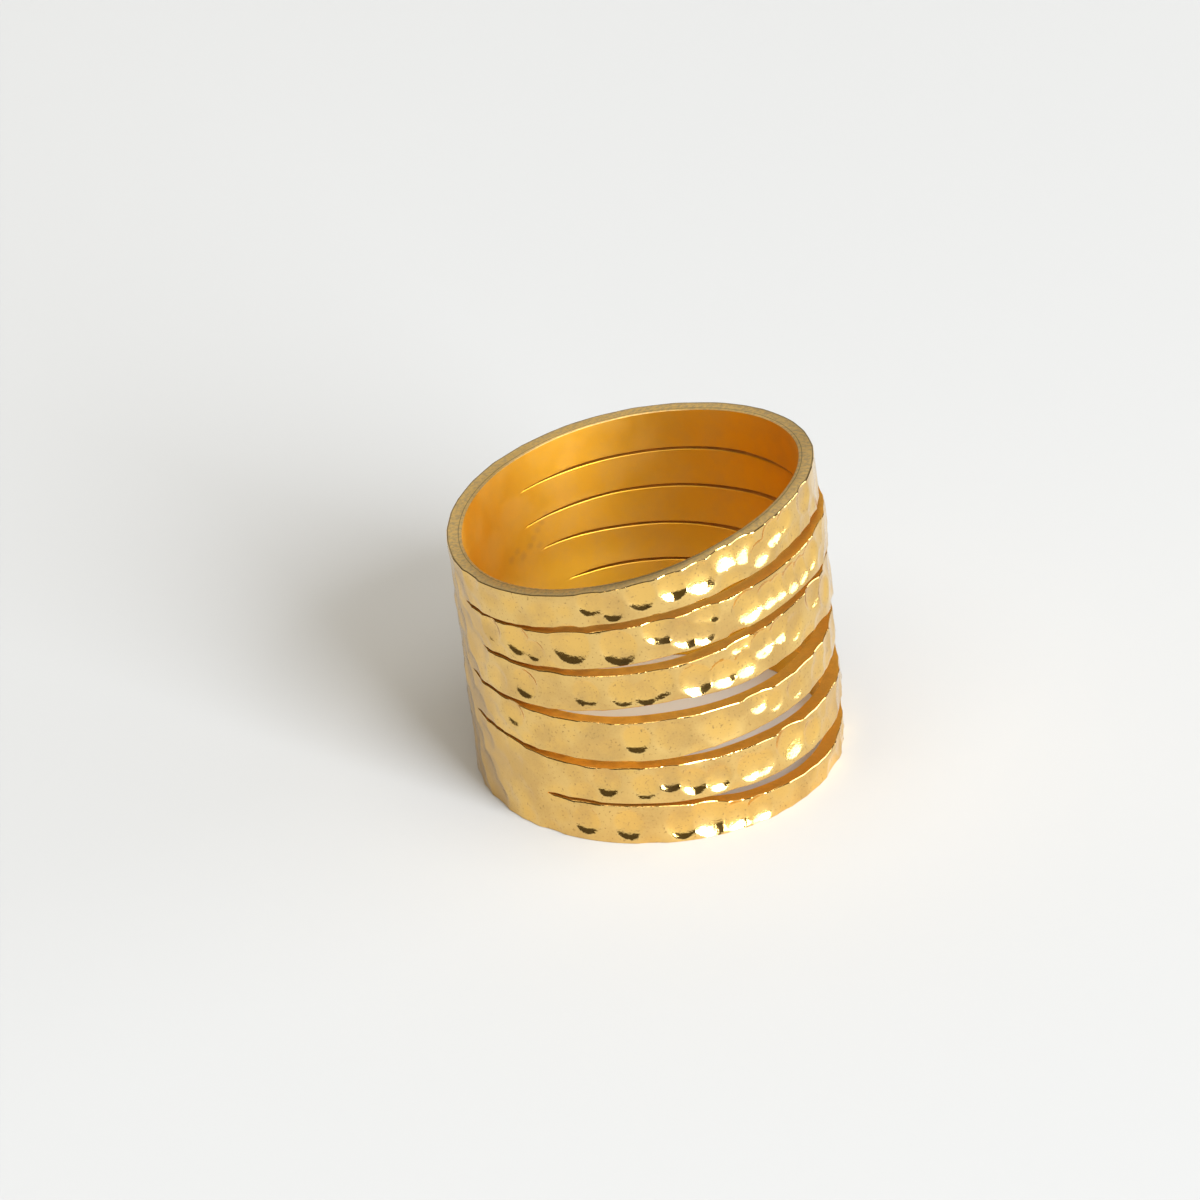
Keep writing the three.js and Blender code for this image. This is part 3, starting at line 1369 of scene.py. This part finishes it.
@dataclass
class Studio:
    """The floor, the lights and the camera.

    Attributes:
        floor_size: The floor's side, in metres.
        floor_colour: The colour of its pale paper.
        floor_roughness: How rough the paper is.
        floor_shine: How much it shines.
        cloud_size: The size of the paper's faint clouds, in millimetres.
        cloud_shade: The brightness of those clouds, as a share of the paper's.
        room: The colour and brightness of the dim room.
        lights: The soft lights.
        lit_height: The height over the floor that the lights face, in millimetres.
        target: The point of the floor that the camera looks at, in millimetres.
        camera_elevation: The camera's height over the floor, in degrees.
        camera_roll: How far the camera is rolled, in degrees.
        camera_distance: Its distance from the target, in millimetres.
        lens: Its focal length, in millimetres.
        sensor: The width of its sensor, in millimetres.
    """

    floor_size: float = 4.0
    floor_colour: Colour = (0.45, 0.45, 0.45)
    floor_roughness: float = 0.8
    floor_shine: float = 0.2
    cloud_size: float = 60.0
    cloud_shade: float = 0.985
    room: Colour = (0.1, 0.088, 0.066)
    lights: tuple[Softbox, ...] = (
        Softbox("key_light", 306.5, 25.0, 1.8, 0.88, 1.38, 22.0, (0.86, 0.92, 1.0)),
        Softbox("side_light", 354.0, 14.0, 1.8, 2.55, 0.76, 5.9, (0.86, 0.92, 1.0)),
        Softbox("top_light", 250.0, 80.0, 1.8, 2.0, 2.0, 2.85, (1.0, 0.94, 0.82)),
        Softbox("back_light", 95.0, 32.0, 2.4, 4.0, 1.2, 0.6, (1.0, 0.99, 0.97)),
    )
    lit_height: float = 8.0
    target: tuple[float, float, float] = (-2.243, 14.766, 0.0)
    camera_elevation: float = 30.815
    camera_roll: float = 4.959
    camera_distance: float = 608.62
    lens: float = 344.6
    sensor: float = 36.0

    def build(self) -> None:
        """Make the floor, the lights, the room's light and the camera."""
        self._floor()
        self._camera()
        for light in self.lights:
            light.build(Vector((0.0, 0.0, self.lit_height * MM)))
        world = bpy.data.worlds.new("room")
        world.use_nodes = True
        world.node_tree.nodes["Background"].inputs["Color"].default_value = (*self.room, 1.0)
        bpy.context.scene.world = world
        bpy.context.scene.view_settings.view_transform = "Standard"

    def _floor(self) -> None:
        """Lay the pale floor."""
        bpy.ops.object.select_all(action="DESELECT")
        bpy.ops.mesh.primitive_plane_add(size=self.floor_size, location=(0, 0, 0))
        floor = bpy.context.object
        floor.name = floor.data.name = "floor"
        material = bpy.data.materials.new("pale_paper")
        material.use_nodes = True
        nodes = Nodes(material.node_tree)
        clouds = nodes.noise(self.cloud_size, detail=3.0)
        darker = tuple(self.cloud_shade * value for value in self.floor_colour)
        shader = nodes.add(
            "ShaderNodeBsdfPrincipled",
            inputs={
                "Base Color": nodes.mix(clouds, self.floor_colour, darker),
                "Roughness": self.floor_roughness,
                "Specular IOR Level": self.floor_shine,
            },
        )
        nodes.output(shader)
        floor.data.materials.append(material)

    def _camera(self) -> None:
        """Set up the camera at the photograph's angle."""
        rise = math.radians(self.camera_elevation)
        roll = math.radians(self.camera_roll)
        back = Vector((0.0, -math.cos(rise), math.sin(rise)))
        level_up = Vector((0.0, math.sin(rise), math.cos(rise)))
        level_right = Vector((1.0, 0.0, 0.0))
        right = math.cos(roll) * level_right - math.sin(roll) * level_up
        up = math.sin(roll) * level_right + math.cos(roll) * level_up
        data = bpy.data.cameras.new("camera")
        data.lens = self.lens
        data.sensor_width = self.sensor
        camera = bpy.data.objects.new("camera", data)
        place = (Vector(self.target) + self.camera_distance * back) * MM
        turned = Matrix((right, up, back)).transposed().to_4x4()
        camera.matrix_world = Matrix.Translation(place) @ turned
        bpy.context.scene.collection.objects.link(camera)
        bpy.context.scene.camera = camera


def main() -> None:
    """Build the studio and the ring."""
    Studio().build()
    log.info("studio: floor, lights and camera")
    ring = HammeredRing().build()
    triangles = sum(len(face.vertices) - 2 for face in ring.data.polygons)
    log.info("%s: %d triangles", ring.name, triangles)


if __name__ == "__main__":
    main()
